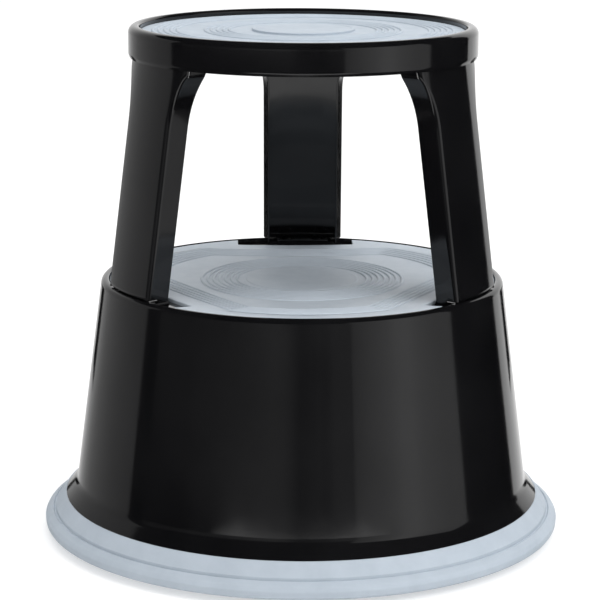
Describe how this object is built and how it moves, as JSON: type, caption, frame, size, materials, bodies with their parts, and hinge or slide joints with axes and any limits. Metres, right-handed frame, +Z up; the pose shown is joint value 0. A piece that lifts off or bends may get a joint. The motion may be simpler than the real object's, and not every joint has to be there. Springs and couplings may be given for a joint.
{
  "type": "kick stool",
  "caption": "Round two-step kick stool: pressed steel drum with a rubber foot ring, channel legs, a round top step, ribbed mats and sprung swivel castors inside.",
  "frame": {"origin": "on the floor under the middle of the stool, castors extended", "axes": "+Z up, +Y towards the back leg, +X to the right seen from the open front"},
  "size_m": [0.4399, 0.44, 0.43],
  "materials": {
    "black_steel": "gloss powder coat",
    "grey_rubber": "satin",
    "zinc_steel": "zinc plated",
    "natural_nylon": "satin",
    "dark_nylon": "matte",
    "tyre_rubber": "matte"
  },
  "bodies": {
    "root": {"top_step_cap": "black_steel", "top_step_mat": "grey_rubber", "leg_back": "black_steel", "leg_front_left": "black_steel", "leg_front_right": "black_steel", "cap_weld_studs": "zinc_steel", "cap_flange_nuts": "zinc_steel", "drum_shell": "black_steel", "lower_step_mat": "grey_rubber", "base_ring": "grey_rubber", "foot_screws": "zinc_steel", "foot_nuts": "zinc_steel", "bracket_weld_studs": "zinc_steel", "bracket_nuts": "zinc_steel", "bracket_right": "zinc_steel", "bracket_left": "zinc_steel", "bracket_front": "zinc_steel", "guide_bush_right": "natural_nylon", "guide_bush_left": "natural_nylon", "guide_bush_front": "natural_nylon"},
    "plunger_right": {"stem_right": "zinc_steel", "spring_right": "zinc_steel", "thrust_washer_right": "natural_nylon", "stem_clip_right": "zinc_steel"},
    "fork_right": {"fork_right": "zinc_steel", "axle_right": "zinc_steel"},
    "wheel_right": {"wheel_core_right": "dark_nylon", "tyre_right": "tyre_rubber"},
    "plunger_left": {"stem_left": "zinc_steel", "spring_left": "zinc_steel", "thrust_washer_left": "natural_nylon", "stem_clip_left": "zinc_steel"},
    "fork_left": {"fork_left": "zinc_steel", "axle_left": "zinc_steel"},
    "wheel_left": {"wheel_core_left": "dark_nylon", "tyre_left": "tyre_rubber"},
    "plunger_front": {"stem_front": "zinc_steel", "spring_front": "zinc_steel", "thrust_washer_front": "natural_nylon", "stem_clip_front": "zinc_steel"},
    "fork_front": {"fork_front": "zinc_steel", "axle_front": "zinc_steel"},
    "wheel_front": {"wheel_core_front": "dark_nylon", "tyre_front": "tyre_rubber"}
  },
  "joints": [
    {"name": "castor_slide_right", "type": "slide", "parent": "root", "child": "plunger_right", "axis": [0, 0, 1], "range_m": [0, 0.008], "stiffness_N_per_m": 5000, "springref_m": -0.012, "deforming": ["spring_right"]},
    {"name": "castor_swivel_right", "type": "hinge", "parent": "plunger_right", "child": "fork_right", "pos_m": [0.11951, 0.069, 0.054], "axis": [0, 0, 1], "continuous": true},
    {"name": "wheel_spin_right", "type": "hinge", "parent": "fork_right", "child": "wheel_right", "pos_m": [0.12651, 0.05687, 0.025], "axis": [0.866, 0.5, 0], "continuous": true},
    {"name": "castor_slide_left", "type": "slide", "parent": "root", "child": "plunger_left", "axis": [0, 0, 1], "range_m": [0, 0.008], "stiffness_N_per_m": 5000, "springref_m": -0.012, "deforming": ["spring_left"]},
    {"name": "castor_swivel_left", "type": "hinge", "parent": "plunger_left", "child": "fork_left", "pos_m": [-0.11951, 0.069, 0.054], "axis": [0, 0, 1], "continuous": true},
    {"name": "wheel_spin_left", "type": "hinge", "parent": "fork_left", "child": "wheel_left", "pos_m": [-0.11251, 0.08112, 0.025], "axis": [-0.866, 0.5, 0], "continuous": true},
    {"name": "castor_slide_front", "type": "slide", "parent": "root", "child": "plunger_front", "axis": [0, 0, 1], "range_m": [0, 0.008], "stiffness_N_per_m": 5000, "springref_m": -0.012, "deforming": ["spring_front"]},
    {"name": "castor_swivel_front", "type": "hinge", "parent": "plunger_front", "child": "fork_front", "pos_m": [0, -0.138, 0.054], "axis": [0, 0, 1], "continuous": true},
    {"name": "wheel_spin_front", "type": "hinge", "parent": "fork_front", "child": "wheel_front", "pos_m": [-0.014, -0.138, 0.025], "axis": [0, -1, 0], "continuous": true}
  ]
}
